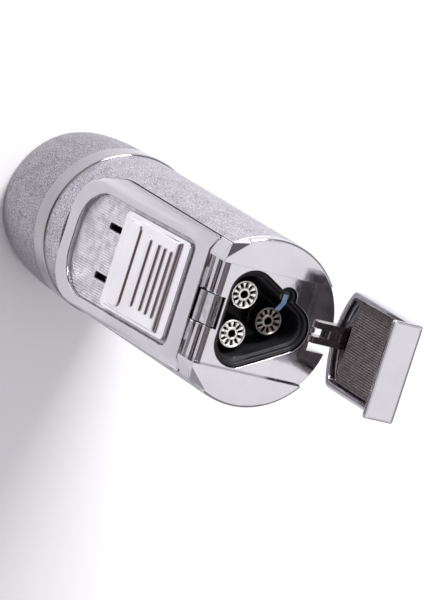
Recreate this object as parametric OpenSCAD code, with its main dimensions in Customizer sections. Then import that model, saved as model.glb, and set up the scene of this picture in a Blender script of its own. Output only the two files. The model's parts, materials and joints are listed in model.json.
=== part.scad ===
// Pocket torch lighter: a tubular metal body with three gas jets under a
// sprung flip lid, fired by a slide button on a slanted front face.
// Millimetres. The origin is the centre of the base's flat underside, +Z runs
// up the body, -Y is the front with the slide button, +Y the back with the
// lid's hinge. The lid is drawn open and the slide button at the top.

/* [Shell] */
// Outside diameter of the tubular shell
shell_d = 28; // [27:0.5:34]
// Height of the head's polished top above the table
body_h = 75; // [72:0.5:92]
// Wall of the tubular shell
shell_wall = 0.8; // [0.5:0.1:1]
// Half of the angle that the shell's front cut-out takes, seen from the axis
cut_angle = 55; // [53:1:58]
// Height of the cut-out's round foot above the band
cut_foot_gap = 5.7; // [4:0.1:8]
// Corner radius of the cut-out's foot
cut_corner_r = 7; // [5:0.5:8]

/* [Base] */
// Height of the barrel-shaped base
base_h = 16.8; // [15:0.2:20]
// How far the base draws in at its foot
foot_inset = 1; // [0.4:0.1:1.4]
// Height over which the base draws in
foot_taper_h = 11; // [8:0.5:14]
// Radius of the rounded edge round the underside
foot_round = 0.6; // [0.3:0.1:1]
// Wall of the base
base_wall = 1.6; // [1.2:0.1:2]
// Thickness of the base's floor
base_floor = 1.8; // [1.4:0.1:2.4]
// Height of the polished band
band_h = 4.5; // [3:0.1:6]
// How far the band stands proud of the shell
band_proud = 0.3; // [0.2:0.1:0.6]

/* [Front frame] */
// How far the face's top edge stands in front of the cut-out's edges
face_rise = 1.2; // [0.9:0.1:1.6]
// Margin between the flat face and the cut-out, each side
face_margin = 1.35; // [1:0.05:2]
// Extra margin of the flat face at its top
face_narrowing = 1.2; // [0.6:0.1:1.5]
// Width of the flat border round the slide's recess
frame_border = 1.35; // [0.8:0.05:1.8]
// Height of the border below the recess
recess_foot_border = 3.6; // [2.5:0.1:5]
// Height of the flat face above the recess
recess_top_border = 4.4; // [3.5:0.1:6]
// Depth of the recess, from the face to the track plate
recess_depth = 0.8; // [0.5:0.1:1.2]
// Thickness of the track plate
track_t = 0.5; // [0.3:0.1:0.8]

/* [Slide button] */
// Gap between the button and the recess, each side
slider_gap = 0.55; // [0.3:0.05:0.8]
// Length of the button up the face
slider_len = 20.6; // [16:0.2:22]
// Gap between the button's top end and the recess's top at rest
slider_top_gap = 1.2; // [0.5:0.1:2]
// How far the button travels down the face
slider_travel = 5.5; // [4:0.5:6]
// Height of the thumb bar above the flat face
thumb_bar_h = 0.9; // [0.6:0.1:1.2]

/* [Head] */
// Height of the head's rim above the shell's edge
head_cap_h = 1.5; // [1:0.1:2.5]
// Rounding of the head's top edge
head_round = 0.5; // [0.3:0.1:0.8]
// Wall left each side of the channel that takes the lid
channel_side = 3.07; // [2.7:0.05:3.4]
// Depth of the channel that takes the lid
channel_depth = 1.2; // [1:0.05:1.6]
// Depth of the front notch below the head's top
notch_depth = 5.4; // [5:0.1:6.5]
// Radius of the burner opening's corners
burner_corner_r = 4.1; // [3.6:0.1:4.4]
// Radius of one gas jet
jet_r = 2.35; // [2:0.05:2.5]
// Depth of the jets' ends below the channel's floor
jet_sink = 3.2; // [1.5:0.1:4]

/* [Lid] */
// Height of the closed lid above the head's top
lid_rise = 1.1; // [0.8:0.1:1.6]
// Gap between the lid and the channel, each side
lid_gap = 0.25; // [0.15:0.05:0.4]
// Height of the lid's front lip
lip_h = 5.4; // [5:0.1:6]
// Thickness of the lid's front lip
lip_t = 0.8; // [0.6:0.1:1]
// Width of the rim round the lid's underside
lid_rim = 1; // [0.7:0.1:1.4]
// Depth of the recess in the lid's underside
lid_recess = 1.4; // [1:0.1:1.6]
// Depth of the hinge's axis below the head's top
hinge_drop = 6; // [5.5:0.1:6.5]
// Distance from the hinge's axis to the shell's outside
hinge_inset = 1.4; // [1.35:0.05:1.6]
// Width of the hinge arm
arm_w = 3.6; // [3:0.1:4]
// Radius of the hinge pin
pin_r = 0.5; // [0.4:0.05:0.6]

/* [Fits] */
// Gap between pieces that seat on each other
seat_gap = 0.05; // [0.03:0.01:0.08]
// Radial clearance of a turning or sliding piece on its pin or in its bore
running_gap = 0.05; // [0.03:0.01:0.08]
// Gap between moving pieces that only pass each other
pass_gap = 0.15; // [0.1:0.01:0.25]

/* [Hidden] */
$fn = 64;
FREE = 0.02;
BIG = 2 * body_h;

shell_r = shell_d / 2;
bore_r = shell_r - shell_wall;
shell_z = base_h + band_h;
shell_top_z = body_h - head_cap_h;
cut_foot_z = shell_z + cut_foot_gap;
cut_half = shell_r * sin(cut_angle);
cut_chord = shell_r * cos(cut_angle);

notch_z = body_h - notch_depth;
face_top = cut_chord + face_rise;
face_foot = shell_r - seat_gap;
tilt = atan((face_foot - face_top) / (notch_z - cut_foot_z));
face_w = 2 * (cut_half - face_margin);
face_top_w = face_w - 2 * face_narrowing;
recess_w = face_w - 2 * frame_border;
recess_foot_z = cut_foot_z + recess_foot_border;
recess_top_z = notch_z - recess_top_border;
recess_foot_r = cut_corner_r - 0.2;
recess_top_r = 1.5;
track_ledge = 0.6;

slider_w = recess_w - 2 * slider_gap;
slider_top_z = recess_top_z - slider_top_gap;
slider_foot_z = slider_top_z - slider_len * cos(tilt);
leg_x = 4.2;
leg_w = 1;
leg_foot_z = slider_foot_z + 0.9;
leg_len = 7.5;

head_foot_z = notch_z - 7.6;
channel_w = 2 * (cut_half - channel_side);
deck_z = body_h - channel_depth;
hinge_y = shell_r - hinge_inset;
hinge_z = body_h - hinge_drop;
slot_w = arm_w + 1.7;
slot_front_y = hinge_y - 2.5;
slot_floor_z = hinge_z - 2.1;
boss_w = slot_w + 4.6;
boss_floor_z = slot_floor_z - 0.5;

lid_w = channel_w - 2 * lid_gap;
lid_top_z = body_h + lid_rise;
lid_under_z = deck_z + 0.1;
lid_back_r = shell_r - 0.4;
lip_foot_z = lid_top_z - lip_h;
lip_sweep_r = hinge_y + face_top - lip_t;
nose_r = lip_sweep_r - pass_gap / 2;

burner_half_w = channel_w / 2 - 0.3;
burner_front_y = -face_top + 3.25;
burner_back_y = slot_front_y - 0.35;
jet_x = burner_half_w - 2.45 - jet_r;
jet_front_y = burner_front_y + 2.15 + jet_r;
jet_back_y = burner_back_y - 3.3 - jet_r;
jet_top_z = deck_z - jet_sink;
insert_top_z = deck_z - 0.4;
insert_foot_z = deck_z - 10.8;
well_floor_z = deck_z - 7.8;
burner_front_c = [burner_corner_r - burner_half_w, burner_front_y + burner_corner_r];
burner_side = [0, burner_back_y - burner_corner_r] - burner_front_c;
burner_side_out = [-burner_side[1], burner_side[0]] / norm(burner_side);
electrode_at = burner_front_c + 0.588 * burner_side + (burner_corner_r - 0.34) * burner_side_out;
electrode_x = electrode_at[0];
electrode_y = electrode_at[1];

latch_w = 5;
latch_travel = 0.7;
latch_back_y = burner_front_y - 0.5;

tank_r = shell_r - base_wall - 0.25;
tank_z = base_floor + 1;
tank_wall = 1;
tank_lid_z = cut_foot_z - 2;
tank_lid_t = 1.2;
deck_floor_z = tank_lid_z + tank_lid_t;
deck_floor_t = 1.8;
inner_z = deck_floor_z + deck_floor_t;

arm_z = slider_top_z - 10;
piezo_x = -4.7;
piezo_w = 6.4;
piezo_d = 5.5;
piezo_y = -2.75;
piezo_top_z = arm_z - 8.5;
plunger_w = 4;
plunger_d = 3;
plunger_head_t = 1;

lever_x = 4.5;
lever_w = 2.6;
lever_y = 3;
lever_z = inner_z + 14;
lever_pin_r = 0.6;
lever_drop = 5;
lever_reach = 3;
ramp_slope = 0.25;
stem_y = lever_y + 4.5;
stem_r = 0.9;
stem_lift = 0.9;
gas_valve_r = 2.4;
gas_valve_h = 7;

fill_y = -5.6;
fill_r = 2.4;
fill_h = 9;
fill_stem_r = 0.8;
fill_stem_top_z = 5;
adjuster_y = 5.6;
adjuster_r = 3.2;
screw_x = 7.6;

function face_y(z) = -face_top - (notch_z - z) * tan(tilt);
function face_v(z) = (z - notch_z) / cos(tilt);

// ---- shared shapes ----------------------------------------------------

// Plan of a panel with a round-cornered foot at the origin and a square top
module round_foot(w, h, r) {
    translate([-w / 2, r]) square([w, h - r]);
    translate([r - w / 2, 0]) square([w - 2 * r, r + FREE]);
    for (side = [-1, 1]) translate([side * (w / 2 - r), r]) circle(r);
}

// Plan of a rectangle standing on the origin, all four corners rounded
module round_panel(w, h, r) {
    translate([-w / 2, r]) square([w, h - 2 * r]);
    translate([r - w / 2, 0]) square([w - 2 * r, h]);
    for (side = [-1, 1], y = [r, h - r]) translate([side * (w / 2 - r), y]) circle(r);
}

// Children drawn on the slanted face: X across, Y up the face, Z out of it
module on_face() {
    translate([0, -face_top, notch_z]) rotate([90 - tilt, 0, 0]) children();
}

// Children drawn on the face with their foot at height z
module on_face_at(z) {
    on_face() translate([0, face_v(z), 0]) children();
}

// Bar along X with its middle at the origin
module cross_bar(r, length) {
    rotate([0, 90, 0]) cylinder(r = r, h = length, center = true);
}

// Outline of the burner opening, grown or shrunk by a margin
module burner_outline(grow) {
    front_x = burner_half_w - burner_corner_r;
    hull() {
        for (side = [-1, 1])
            translate([side * front_x, burner_front_y + burner_corner_r])
                circle(burner_corner_r + grow, $fn = 48);
        translate([0, burner_back_y - burner_corner_r]) circle(burner_corner_r + grow, $fn = 48);
    }
    translate([electrode_x, electrode_y]) circle(1.7 + grow, $fn = 32);
}

// Coil spring standing on the origin
module coil(mean_r, wire_r, height, turns) {
    sides = 6;
    steps = turns * 14;
    rise = height - 2 * wire_r;
    points = [
        for (i = [0:steps], j = [0:sides - 1])
            let (a = 360 * turns * i / steps, b = 360 * j / sides, r = mean_r + wire_r * cos(b))
                [r * cos(a), r * sin(a), wire_r + rise * i / steps + wire_r * sin(b)]
    ];
    walls = [
        for (i = [0:steps - 1], j = [0:sides - 1])
            let (k = (j + 1) % sides, here = i * sides, next = (i + 1) * sides)
                [here + j, here + k, next + k, next + j]
    ];
    first = [for (j = [sides - 1:-1:0]) j];
    last = [for (j = [0:sides - 1]) steps * sides + j];
    polyhedron(points, concat([first], walls, [last]), convexity = 10);
}

function unit(v) = v / norm(v);
function bezier(p, u) =
    pow(1 - u, 3) * p[0] + 3 * u * pow(1 - u, 2) * p[1]
    + 3 * u * u * (1 - u) * p[2] + pow(u, 3) * p[3];
function bezier_run(p, u) =
    unit(pow(1 - u, 2) * (p[1] - p[0]) + 2 * u * (1 - u) * (p[2] - p[1]) + u * u * (p[3] - p[2]));

// Round tube along a cubic curve through four control points
module bent_tube(ctrl, r, steps) {
    sides = 8;
    points = [
        for (i = [0:steps])
            let (
                u = i / steps,
                run = bezier_run(ctrl, u),
                e1 = unit(cross(run, [0, 1, 0])),
                e2 = cross(run, e1)
            )
                for (j = [0:sides - 1])
                    bezier(ctrl, u) + r * (cos(360 * j / sides) * e1 + sin(360 * j / sides) * e2)
    ];
    walls = [
        for (i = [0:steps - 1], j = [0:sides - 1])
            let (k = (j + 1) % sides, here = i * sides, next = (i + 1) * sides)
                [here + j, next + j, next + k, here + k]
    ];
    first = [for (j = [0:sides - 1]) j];
    last = [for (j = [sides - 1:-1:0]) steps * sides + j];
    polyhedron(points, concat([first], walls, [last]), convexity = 10);
}

// ---- base -------------------------------------------------------------

// Radius of the barrel-shaped base at height z
function barrel_r(z) = shell_r - foot_inset * pow(max(0, 1 - z / foot_taper_h), 2);

module base_cup() {
    top_z = base_h - seat_gap;
    steps = 7;
    outside = [
        for (i = [0:2]) let (a = 30 * i) [
            barrel_r(0) - foot_round * (1 - sin(a)), foot_round * (1 - cos(a))
        ],
        for (i = [1:steps]) let (z = foot_round + (foot_taper_h - foot_round) * i / steps)
            [barrel_r(z), z]
    ];
    inner_r = shell_r - base_wall;
    color("dimgray") difference() {
        rotate_extrude($fn = 96)
            polygon(concat(
                [[0, 0]], outside,
                [[shell_r, top_z], [inner_r, top_z], [inner_r, base_floor], [0, base_floor]]
            ));
        translate([0, fill_y, -1]) cylinder(r = fill_r + seat_gap, h = base_floor + 2);
        translate([0, adjuster_y, -1]) cylinder(r = adjuster_r + running_gap, h = base_floor + 2);
        for (side = [-1, 1]) translate([side * screw_x, 0, -1]) {
            cylinder(r = 0.75, h = base_floor + 2);
            cylinder(r = 1.4, h = 2.2);
        }
    }
}

module base_screws() {
    color("silver") for (side = [-1, 1]) translate([side * screw_x, 0, 0]) difference() {
        union() {
            translate([0, 0, 0.35]) cylinder(r = 1.35, h = 0.8);
            translate([0, 0, 1]) cylinder(r = 0.7, h = tank_z + 1.6);
        }
        for (turn = [0, 90]) rotate([0, 0, turn]) translate([-0.9, -0.15, 0]) cube([1.8, 0.3, 0.75]);
    }
}

module band_ring() {
    outer_r = shell_r + band_proud;
    inner_r = shell_r - base_wall;
    edge = 0.5;
    color("gainsboro") rotate_extrude($fn = 96) {
        translate([inner_r, base_h]) square([outer_r - edge - inner_r, band_h]);
        translate([inner_r, base_h + edge]) square([outer_r - inner_r, band_h - 2 * edge]);
        for (z = [base_h + edge, shell_z - edge]) translate([outer_r - edge, z]) circle(edge, $fn = 32);
    }
}

// ---- shell ------------------------------------------------------------

module outer_shell() {
    z0 = shell_z + seat_gap;
    color("slategray") difference() {
        translate([0, 0, z0]) cylinder(r = shell_r, h = shell_top_z - z0, $fn = 128);
        translate([0, 0, z0 - 1]) cylinder(r = bore_r, h = BIG * 2, $fn = 128);
        translate([0, 0, cut_foot_z]) rotate([90, 0, 0])
            linear_extrude(shell_r + 2) round_foot(2 * cut_half, BIG, cut_corner_r);
        translate([-boss_w / 2 - seat_gap, 0, boss_floor_z - seat_gap])
            cube([boss_w + 2 * seat_gap, shell_r + 2, BIG]);
    }
}

// ---- fuel tank and valves in the base ---------------------------------

module fuel_tank() {
    height = tank_lid_z - seat_gap - tank_z;
    color("whitesmoke") translate([0, 0, tank_z]) difference() {
        union() {
            difference() {
                cylinder(r = tank_r, h = height, $fn = 96);
                translate([0, 0, tank_wall]) cylinder(r = tank_r - tank_wall, h = height, $fn = 96);
            }
            for (side = [-1, 1]) translate([side * screw_x, 0, 0]) cylinder(r = 1.5, h = 4.5);
            translate([0, adjuster_y, 0]) cylinder(r = 2.2, h = 5.5);
        }
        translate([0, fill_y, -1]) cylinder(r = fill_r + seat_gap, h = 4);
        translate([0, adjuster_y, -1]) cylinder(r = 1.2 + running_gap, h = 5.6);
        for (side = [-1, 1]) translate([side * screw_x, 0, -1]) cylinder(r = 0.72, h = 3.9);
    }
}

module tank_lid() {
    color("whitesmoke") translate([0, 0, tank_lid_z]) difference() {
        union() {
            cylinder(r = tank_r, h = tank_lid_t - seat_gap, $fn = 96);
            translate([0, 0, -1.5]) cylinder(r = tank_r - tank_wall - seat_gap, h = 2, $fn = 96);
        }
        translate([lever_x, stem_y, -3]) cylinder(r = 1.6, h = 6);
    }
}

module tank_seal() {
    color("black") translate([0, 0, tank_lid_z + tank_lid_t / 2])
        rotate_extrude($fn = 96) translate([tank_r + 0.45, 0]) circle(0.4, $fn = 24);
}

module fill_valve() {
    z0 = 0.35;
    color("goldenrod") difference() {
        translate([0, fill_y, z0]) cylinder(r = fill_r, h = fill_h);
        translate([0, fill_y, z0 - 1]) cylinder(r = 1.3, h = 1.6);
        translate([0, fill_y, z0 - 1]) cylinder(r = fill_stem_r + running_gap, h = fill_h + 0.4);
    }
}

module fill_stem() {
    color("silver") translate([0, fill_y, 0.6]) difference() {
        cylinder(r = fill_stem_r, h = fill_stem_top_z - 0.6);
        translate([0, 0, -1]) cylinder(r = 0.3, h = 3);
    }
}

module fill_spring() {
    color("silver") translate([0, fill_y, fill_stem_top_z + FREE])
        coil(0.55, 0.13, fill_h - 0.27 - fill_stem_top_z - 2 * FREE, 6);
}

module adjuster_dial() {
    flange_z = base_floor + seat_gap;
    color("dimgray") translate([0, adjuster_y, 0]) difference() {
        union() {
            translate([0, 0, 0.35]) cylinder(r = adjuster_r, h = flange_z);
            translate([0, 0, flange_z]) cylinder(r = adjuster_r + 0.7, h = 0.7);
            translate([0, 0, flange_z]) cylinder(r = 1.2, h = 5.4);
        }
        translate([-2.2, -0.35, 0]) cube([4.4, 0.7, 1]);
        for (i = [0:11]) rotate([0, 0, 30 * i]) translate([adjuster_r + 0.1, 0, 0])
            cylinder(r = 0.35, h = 1.1, $fn = 16);
    }
}

// ---- inner chassis ----------------------------------------------------

module inner_chassis() {
    chassis_r = bore_r - seat_gap;
    pillar_x = chassis_r - 4.2;
    ear_y = lever_y - 1.3;
    color("darkslategray") difference() {
        union() {
            intersection() {
                translate([0, 0, deck_floor_z]) cylinder(r = chassis_r, h = deck_floor_t, $fn = 96);
                translate([-BIG / 2, -cut_chord + 0.3, 0]) cube([BIG, BIG, BIG]);
            }
            intersection() {
                translate([0, 0, deck_floor_z])
                    cylinder(r = chassis_r, h = head_foot_z - seat_gap - deck_floor_z, $fn = 96);
                for (side = [-1, 1]) translate([side * (pillar_x + 5) - 5, -3, deck_floor_z])
                    cube([10, 10, BIG]);
            }
            for (x = [lever_x - lever_w / 2 - 1.4, lever_x + lever_w / 2 + 0.2])
                translate([x, ear_y, inner_z - FREE]) cube([1.2, 2.6, lever_z + 1.4 - inner_z]);
            translate([piezo_x - piezo_w / 2, piezo_y - piezo_d / 2, inner_z - FREE])
                cube([piezo_w, piezo_d, 1.5]);
        }
        translate([lever_x, lever_y, lever_z]) cross_bar(lever_pin_r + FREE, lever_w + 4);
        translate([lever_x, stem_y, deck_floor_z - 1])
            cylinder(r = gas_valve_r + seat_gap, h = deck_floor_t + 2);
        for (side = [-1, 1]) translate([side * (pillar_x + 1.9), 2, deck_floor_z - 1]) {
            cylinder(r = 0.72, h = BIG);
            cylinder(r = 1.35, h = head_foot_z - 4 - deck_floor_z + 1);
        }
    }
}

module chassis_screws() {
    x = bore_r - seat_gap - 2.3;
    head_z = head_foot_z - 5;
    color("silver") for (side = [-1, 1]) translate([side * x, 2, head_z]) difference() {
        union() {
            cylinder(r = 1.3, h = 1);
            cylinder(r = 0.7, h = 8);
        }
        for (turn = [0, 90]) rotate([0, 0, turn]) translate([-0.9, -0.15, -1]) cube([1.8, 0.3, 1.5]);
    }
}

// ---- front frame and slide --------------------------------------------

// Solid of the frame before its recess: a slanted panel with drawn-in flanks
module frame_blank() {
    back_w = 2 * (cut_half - seat_gap);
    foot_z = cut_foot_z + seat_gap;
    plate = 0.05;
    shoulder = 1.1;
    straight = face_v(notch_z - 12) - face_v(cut_foot_z) - 0.4;
    whole = -face_v(cut_foot_z) - 0.4;
    hull() {
        translate([0, -cut_chord - seat_gap, foot_z]) rotate([90, 0, 0])
            linear_extrude(plate) round_foot(back_w, notch_z - foot_z, cut_corner_r, $fn = 32);
        on_face_at(cut_foot_z) translate([0, 0.15, -shoulder])
            linear_extrude(plate) round_foot(face_w + 1.2, straight, cut_corner_r, $fn = 32);
        on_face_at(cut_foot_z) translate([0, 0.4, -plate])
            linear_extrude(plate) round_foot(face_w, straight, cut_corner_r - 0.4, $fn = 32);
        on_face_at(cut_foot_z) translate([-face_top_w / 2, whole - 1, -plate])
            cube([face_top_w, 1, plate]);
    }
}

// Plan of the recess, drawn in by a margin all round
module recess_plan(margin) {
    height = face_v(recess_top_z) - face_v(recess_foot_z) - 2 * margin;
    w = recess_w - 2 * margin;
    translate([0, margin]) round_foot(w, height - recess_top_r, recess_foot_r - margin);
    translate([0, margin + height - 3 * recess_top_r]) round_panel(w, 3 * recess_top_r, recess_top_r);
}

module front_frame() {
    color("gainsboro") difference() {
        intersection() {
            frame_blank();
            translate([-BIG / 2, -BIG, 0]) cube([BIG, BIG, notch_z]);
        }
        on_face_at(recess_foot_z) {
            translate([0, 0, -recess_depth - track_t]) linear_extrude(10) recess_plan(0);
            translate([0, 0, -BIG / 2]) linear_extrude(BIG) recess_plan(track_ledge);
        }
        translate([-latch_w / 2 - pass_gap, -face_top + 0.25, notch_z - latch_travel - 0.3])
            cube([latch_w + 2 * pass_gap, 5, 5]);
    }
}

module track_plate() {
    slot_foot = face_v(leg_foot_z) - slider_travel - pass_gap - face_v(recess_foot_z);
    slot_len = slider_travel + leg_len + 2 * pass_gap;
    color("silver") on_face_at(recess_foot_z) difference() {
        translate([0, 0, -recess_depth - track_t + seat_gap])
            linear_extrude(track_t - seat_gap) recess_plan(seat_gap);
        for (side = [-1, 1])
            translate([side * leg_x - leg_w / 2 - 0.12, slot_foot, -recess_depth - track_t - 1])
                cube([leg_w + 0.24, slot_len, track_t + 2]);
    }
}

module slider_button() {
    foot = face_v(slider_foot_z);
    under = -recess_depth + 0.06;
    plate_top = 0.25;
    crown_foot = 0.8;
    crown_len = slider_len - 3.8;
    bar_foot = 2.8;
    bar_len = 3.7;
    rib_w = 0.9;
    rib_room = crown_foot + crown_len - bar_foot - bar_len;
    rib_rows = [for (share = [0.26, 0.52, 0.71, 0.9]) bar_foot + bar_len + share * rib_room];
    color("gainsboro") on_face() translate([0, foot, 0]) {
        translate([0, 0, under]) linear_extrude(plate_top - under - 0.35)
            round_panel(slider_w, slider_len, 1.2);
        translate([0, crown_foot, 0]) linear_extrude(plate_top)
            round_panel(slider_w - 1.2, crown_len, 1);
        translate([0, bar_foot, 0]) linear_extrude(thumb_bar_h)
            round_panel(slider_w - 2.2, bar_len, 1.2);
        for (v = rib_rows) translate([0, v - rib_w / 2, 0]) linear_extrude(thumb_bar_h - 0.1)
            round_panel(slider_w - 5.6, rib_w, rib_w / 2 - FREE);
        for (side = [-1, 1])
            translate([side * leg_x - leg_w / 2, face_v(leg_foot_z) - foot, -recess_depth - 2.2])
                cube([leg_w, leg_len, 2.4]);
    }
}

module slider_carriage() {
    plate_n = -recess_depth - track_t - pass_gap;
    plate_t = 1;
    plate_w = 2 * (recess_w / 2 - track_ledge - 0.4);
    arm_w_x = 5.2;
    leg_foot = lever_z - lever_drop - 0.5;
    tip_y = lever_y - lever_reach;
    back_y = tip_y - pass_gap;
    color("dimgray") difference() {
        union() {
            on_face_at(leg_foot_z - 0.6) translate([-plate_w / 2, 0, plate_n - plate_t])
                cube([plate_w, arm_z + 3 - leg_foot_z, plate_t]);
            translate([piezo_x - arm_w_x / 2, face_y(arm_z) + 2.2, arm_z])
                cube([arm_w_x, piezo_y + 2 - face_y(arm_z) - 2.2, 1.6]);
            translate([lever_x - 1.2, face_y(arm_z) + 2.2, arm_z - 1.5])
                cube([2.4, tip_y - 1.2 - face_y(arm_z) - 2.2, 3]);
            translate([lever_x - 1.2, 0, 0]) rotate([90, 0, 90]) linear_extrude(2.4)
                polygon([
                    [tip_y - 3, leg_foot], [back_y - 0.1, leg_foot],
                    [back_y + ramp_slope * 0.5, leg_foot + 1],
                    [back_y + ramp_slope * 6, leg_foot + 6.5], [tip_y - 1.2, leg_foot + 9],
                    [tip_y - 1.2, arm_z + 1.5], [tip_y - 3, arm_z + 1.5]
                ]);
        }
        on_face_at(leg_foot_z) for (side = [-1, 1])
            translate([side * leg_x - leg_w / 2 - seat_gap, -seat_gap, -recess_depth - 2.25])
                cube([leg_w + 2 * seat_gap, leg_len + 2 * seat_gap, 3]);
    }
}

// ---- piezo igniter ----------------------------------------------------

module piezo_body() {
    foot_z = inner_z + 1.5 + seat_gap;
    color("black") translate([piezo_x, piezo_y, 0]) difference() {
        translate([-piezo_w / 2, -piezo_d / 2, foot_z]) cube([piezo_w, piezo_d, piezo_top_z - foot_z]);
        translate([-plunger_w / 2 - running_gap, -plunger_d / 2 - running_gap, piezo_top_z - 7.4])
            cube([plunger_w + 2 * running_gap, plunger_d + 2 * running_gap, 10]);
    }
}

module piezo_plunger() {
    top_z = arm_z - seat_gap;
    shaft_z = piezo_top_z - 1.5;
    color("darkslategray") translate([piezo_x, piezo_y, 0]) {
        translate([-plunger_w / 2, -plunger_d / 2, shaft_z])
            cube([plunger_w, plunger_d, top_z - shaft_z]);
        translate([-2.9, -2.5, top_z - plunger_head_t]) cube([5.8, 5, plunger_head_t]);
    }
}

module piezo_spring() {
    top_z = arm_z - seat_gap - plunger_head_t;
    color("silver") translate([piezo_x, piezo_y, piezo_top_z + FREE])
        scale([1, 0.86, 1]) coil(2.9, 0.2, top_z - piezo_top_z - 2 * FREE, 5);
}

module piezo_lead() {
    start = [piezo_x, piezo_y + piezo_d / 2 + FREE, inner_z + 9];
    finish = [electrode_x, electrode_y, insert_foot_z - 1];
    color("firebrick") bent_tube([
        start + [0, 0.6, 0], start + [-1.5, 4.5, 4], finish + [0, 0, -14], finish
    ], 0.45, 24);
}

// ---- gas valve and its lever ------------------------------------------

module gas_valve() {
    color("goldenrod") translate([lever_x, stem_y, tank_lid_z - 4]) difference() {
        union() {
            cylinder(r = 1.55, h = 5.4);
            translate([0, 0, 4 + tank_lid_t]) cylinder(r = gas_valve_r, h = gas_valve_h);
            translate([-gas_valve_r - 1.2, 0, 4 + tank_lid_t + 4.5]) cross_bar(0.5, 3);
        }
        translate([0, 0, 3]) cylinder(r = stem_r + running_gap, h = gas_valve_h + 5);
    }
}

module valve_stem() {
    collar_z = lever_z + 0.5 + pass_gap;
    foot_z = tank_lid_z + tank_lid_t + 2;
    color("silver") translate([lever_x, stem_y, 0]) {
        translate([0, 0, foot_z]) cylinder(r = stem_r, h = collar_z + 0.9 - foot_z);
        translate([0, 0, collar_z]) cylinder(r = 1.7, h = 0.9);
    }
}

module valve_lever() {
    half = 0.5;
    tip_z = lever_z - lever_drop;
    tip_y = lever_y - lever_reach;
    color("silver") difference() {
        translate([lever_x - lever_w / 2, 0, 0]) rotate([90, 0, 90]) linear_extrude(lever_w) {
            translate([lever_y, lever_z]) circle(1.1);
            translate([lever_y, lever_z - half]) square([6.2, 2 * half]);
            polygon([
                [tip_y, tip_z], [tip_y + 1, tip_z - 0.3],
                [lever_y + 0.9, lever_z - 0.6], [lever_y - 0.9, lever_z + 0.6]
            ]);
        }
        translate([lever_x, lever_y, lever_z]) cross_bar(lever_pin_r + running_gap, BIG);
        translate([lever_x, stem_y, lever_z - 2]) cylinder(r = stem_r + pass_gap, h = 4);
        translate([lever_x - stem_r - pass_gap, stem_y, lever_z - 2])
            cube([2 * (stem_r + pass_gap), 4, 4]);
    }
}

module lever_pin() {
    color("silver") translate([lever_x, lever_y, lever_z]) cross_bar(lever_pin_r, lever_w + 2.6);
}

module gas_tube() {
    start = [lever_x - gas_valve_r - 2.7 - FREE, stem_y, tank_lid_z + tank_lid_t + 4.5];
    finish = [0, jet_back_y, jet_top_z - 15.5 - FREE];
    color("ivory") bent_tube([
        start, start + [-4, 0, 0], finish + [0, 0, -12], finish
    ], 0.8, 24);
}

// ---- burner -----------------------------------------------------------

module jet_manifold() {
    z0 = jet_top_z - 13;
    color("goldenrod") difference() {
        union() {
            translate([0, 0, z0]) linear_extrude(2.4) hull() {
                for (side = [-1, 1]) translate([side * jet_x, jet_front_y]) circle(2.2, $fn = 32);
                translate([0, jet_back_y]) circle(2.2, $fn = 32);
            }
            translate([0, jet_back_y, z0 - 2.5]) cylinder(r = 1, h = 3);
        }
        for (at = [[-jet_x, jet_front_y], [jet_x, jet_front_y], [0, jet_back_y]])
            translate([at[0], at[1], z0 + 1.2]) cylinder(r = 1.2 + seat_gap, h = 3);
        translate([0, jet_back_y, z0 - 3]) cylinder(r = 0.5, h = 4);
    }
}

// One gas jet: a stem from the manifold, a flanged cup and a slotted end disc
module gas_jet(tint, x, y) {
    cup_h = jet_top_z - well_floor_z - 0.4;
    stem_foot = 11.7;
    rim = 0.38;
    teeth = 11;
    color(tint) translate([x, y, jet_top_z]) difference() {
        union() {
            translate([0, 0, -cup_h]) cylinder(r = jet_r, h = cup_h);
            translate([0, 0, -3.1]) cylinder(r = jet_r + 0.3, h = 0.6);
            translate([0, 0, -stem_foot]) cylinder(r = 1.2, h = stem_foot - cup_h + 0.3);
        }
        translate([0, 0, -0.15]) cylinder(r = jet_r - rim, h = 1);
        for (i = [0:teeth - 1]) rotate([0, 0, 360 * i / teeth])
            translate([jet_r - rim - 0.72, -0.21, -1.2]) cube([0.73, 0.42, 2]);
        translate([0, 0, -14]) cylinder(r = 0.6, h = 16, $fn = 32);
    }
}

module jet_left() {
    gas_jet("gainsboro", -jet_x, jet_front_y);
}

module jet_right() {
    gas_jet("gainsboro", jet_x, jet_front_y);
}

module jet_rear() {
    gas_jet("gray", 0, jet_back_y);
}

module burner_insert() {
    color("black") difference() {
        translate([0, 0, insert_foot_z]) linear_extrude(insert_top_z - insert_foot_z)
            burner_outline(-seat_gap);
        translate([0, 0, insert_top_z - 0.8]) linear_extrude(5) burner_outline(-0.75);
        translate([0, 0, well_floor_z]) linear_extrude(20) burner_outline(-1.25);
        for (at = [[-jet_x, jet_front_y], [jet_x, jet_front_y], [0, jet_back_y]])
            translate([at[0], at[1], 0]) cylinder(r = 1.2 + seat_gap, h = BIG * 2);
        translate([electrode_x, electrode_y, 0]) cylinder(r = 0.9 + seat_gap, h = BIG * 2);
    }
}

module electrode_insulator() {
    z0 = insert_foot_z - 1 + FREE;
    color("linen") translate([electrode_x, electrode_y, z0]) cylinder(r = 0.9, h = insert_top_z - 0.7 - z0);
}

module electrode_tip() {
    z = insert_top_z - 0.7 + FREE;
    color("steelblue") {
        translate([electrode_x - 0.3, electrode_y - 0.45, z]) cube([1.5, 0.9, 0.35]);
        hull() {
            translate([electrode_x + 1, electrode_y - 0.45, z]) cube([0.2, 0.9, 0.35]);
            translate([electrode_x + 2.3, electrode_y - 1.0, z - 0.4]) cube([0.3, 0.9, 0.35]);
        }
    }
}

// ---- head -------------------------------------------------------------

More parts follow.
